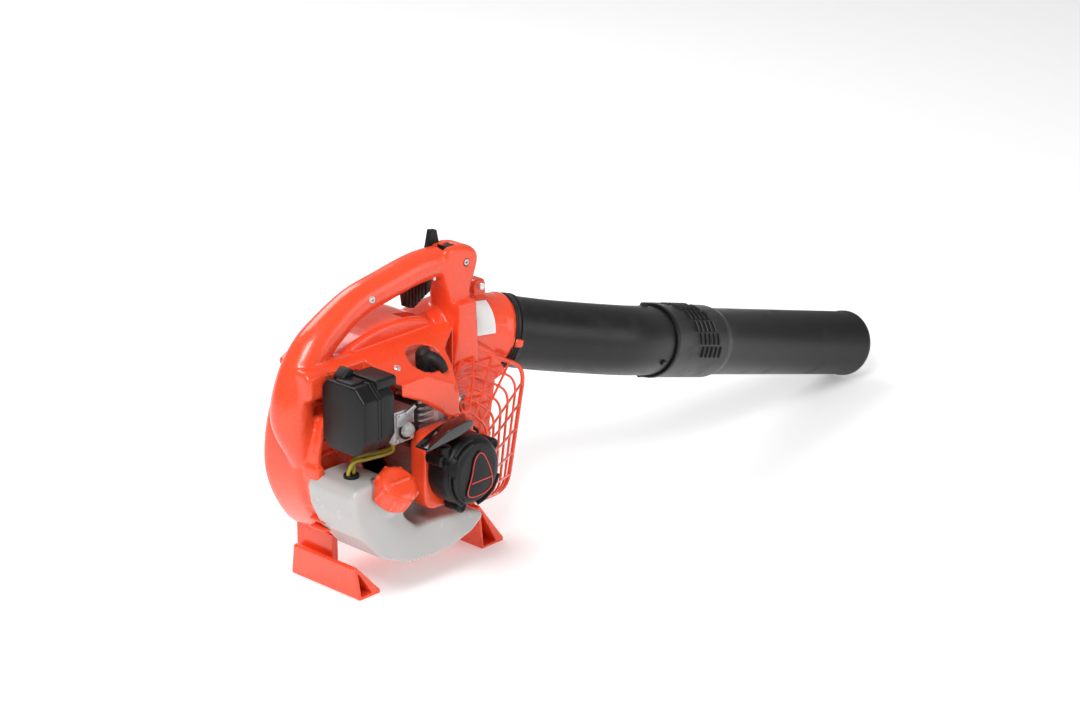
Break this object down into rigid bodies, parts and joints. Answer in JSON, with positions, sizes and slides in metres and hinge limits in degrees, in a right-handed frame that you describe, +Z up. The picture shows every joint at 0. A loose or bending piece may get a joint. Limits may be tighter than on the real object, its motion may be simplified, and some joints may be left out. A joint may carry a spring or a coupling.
{
  "type": "leaf blower",
  "caption": "Hand-held petrol leaf blower: fan case with carry handle, pull-start engine, fuel tank, air cleaner, intake grille and a two-piece blowing pipe.",
  "frame": {"origin": "centre of the rear foot's sole, on the ground", "axes": "+X towards the blowing end, -Y the engine and starter side, +Z up"},
  "size_m": [1.0235, 0.2115, 0.384],
  "materials": {
    "orange_plastic": "glossy moulded plastic",
    "black_plastic": "satin moulded plastic",
    "gloss_black_plastic": "glossy moulded plastic",
    "cast_aluminium": "die cast",
    "steel": "zinc plated",
    "rubber": "matte",
    "tank_plastic": "translucent blow-moulded plastic",
    "clear_plastic": "clear moulded plastic",
    "fuel_hose": "smooth",
    "filter_foam": "foam",
    "rope": "braided"
  },
  "bodies": {
    "housing": {"air_cleaner_base": "black_plastic", "air_filter": "filter_foam", "bearing_fan_side": "steel", "bearing_starter_side": "steel", "carburettor": "cast_aluminium", "clamp_screw": "steel", "crankcase": "cast_aluminium", "cylinder": "cast_aluminium", "engine_hood": "orange_plastic", "exhaust_gasket": "steel", "fan_case_cover": "orange_plastic", "fan_case_inner": "orange_plastic", "flywheel_shroud": "orange_plastic", "front_foot": "orange_plastic", "fuel_filter": "steel", "fuel_line": "fuel_hose", "fuel_tank": "tank_plastic", "handle_screw_1": "steel", "handle_screw_2": "steel", "handle_shell_far": "orange_plastic", "handle_shell_near": "orange_plastic", "ignition_coil": "black_plastic", "ignition_lead": "rubber", "insulator_block": "black_plastic", "intake_grille": "orange_plastic", "muffler": "steel", "pipe_elbow": "black_plastic", "piston": "cast_aluminium", "plug_boot": "rubber", "rear_foot": "orange_plastic", "recoil_spring": "steel", "return_line": "fuel_hose", "seal_ring": "rubber", "spark_plug": "steel", "starter_badge": "black_plastic", "starter_housing": "black_plastic", "starter_rope": "rope", "starter_screw_1": "steel", "starter_screw_2": "steel", "starter_screw_3": "steel", "tank_grommet": "rubber", "trigger_pin": "steel"},
    "crank": {"crankshaft": "steel", "flywheel": "cast_aluminium", "impeller": "black_plastic", "fan_nut": "steel", "pawl_carrier": "steel"},
    "rod": {"connecting_rod": "steel"},
    "reel": {"rope_reel": "black_plastic", "wound_rope": "rope"},
    "pull": {"pull_handle": "gloss_black_plastic"},
    "trigger": {"throttle_trigger": "black_plastic"},
    "set_lever": {"throttle_set_lever": "black_plastic"},
    "switch": {"stop_switch": "black_plastic"},
    "cap": {"fuel_cap": "orange_plastic"},
    "bulb": {"purge_bulb": "clear_plastic"},
    "choke": {"choke_lever": "orange_plastic"},
    "cover": {"air_cleaner_cover": "black_plastic"},
    "latch": {"cover_latch": "black_plastic"},
    "pipe": {"pipe_straight": "black_plastic"}
  },
  "joints": [
    {"name": "crank_spin", "type": "hinge", "parent": "housing", "child": "crank", "pos_m": [0.091, 0, 0.15], "axis": [0, 1, 0], "continuous": true},
    {"name": "rod_swing", "type": "hinge", "parent": "crank", "child": "rod", "pos_m": [0.091, -0.056, 0.164], "axis": [0, 1, 0], "continuous": true},
    {"name": "pull_slide", "type": "slide", "parent": "housing", "child": "pull", "axis": [0, 0, 1], "range_m": [0, 0.6], "stiffness_N_per_m": 6, "springref_m": -0.6, "deforming": ["starter_rope"]},
    {"name": "reel_spin", "type": "hinge", "parent": "housing", "child": "reel", "pos_m": [0.091, -0.122, 0.15], "axis": [0, 1, 0], "range_deg": [0, 1150]},
    {"name": "trigger_pull", "type": "hinge", "parent": "housing", "child": "trigger", "pos_m": [0.153, 0, 0.334], "axis": [0, 1, 0], "range_deg": [0, 12], "stiffness_Nm_per_rad": 0.1, "springref_deg": -17.19},
    {"name": "set_lever_turn", "type": "hinge", "parent": "housing", "child": "set_lever", "pos_m": [0.175, 0.012, 0.362], "axis": [0, 1, 0], "range_deg": [0, 30]},
    {"name": "switch_rock", "type": "hinge", "parent": "housing", "child": "switch", "pos_m": [0.179, -0.005, 0.354], "axis": [0, 1, 0], "range_deg": [0, 12]},
    {"name": "cap_turn", "type": "hinge", "parent": "housing", "child": "cap", "pos_m": [-0.004, -0.095, 0.136], "axis": [0, -0.6222, 0.7828], "range_deg": [0, 540]},
    {"name": "bulb_press", "type": "slide", "parent": "housing", "child": "bulb", "axis": [0, 1, 0], "range_m": [0, 0.004], "stiffness_N_per_m": 500},
    {"name": "choke_turn", "type": "hinge", "parent": "housing", "child": "choke", "pos_m": [0.007, -0.08, 0.222], "axis": [-1, 0, 0], "range_deg": [0, 60]},
    {"name": "cover_slide", "type": "slide", "parent": "housing", "child": "cover", "axis": [-1, 0, 0], "range_m": [0, 0.06]},
    {"name": "latch_turn", "type": "hinge", "parent": "cover", "child": "latch", "pos_m": [-0.042, -0.058, 0.2785], "axis": [0, -1, 0], "range_deg": [0, 20]},
    {"name": "pipe_twist", "type": "hinge", "parent": "housing", "child": "pipe", "pos_m": [0.51, -0.025, 0.165], "axis": [0.9588, 0.046, -0.2802], "range_deg": [0, 20]}
  ],
  "couplings": [
    {"joint": "rod_swing", "follows": "crank_spin", "ratio": -1},
    {"joint": "reel_spin", "follows": "pull_slide", "rad_per_m": 33.278}
  ]
}
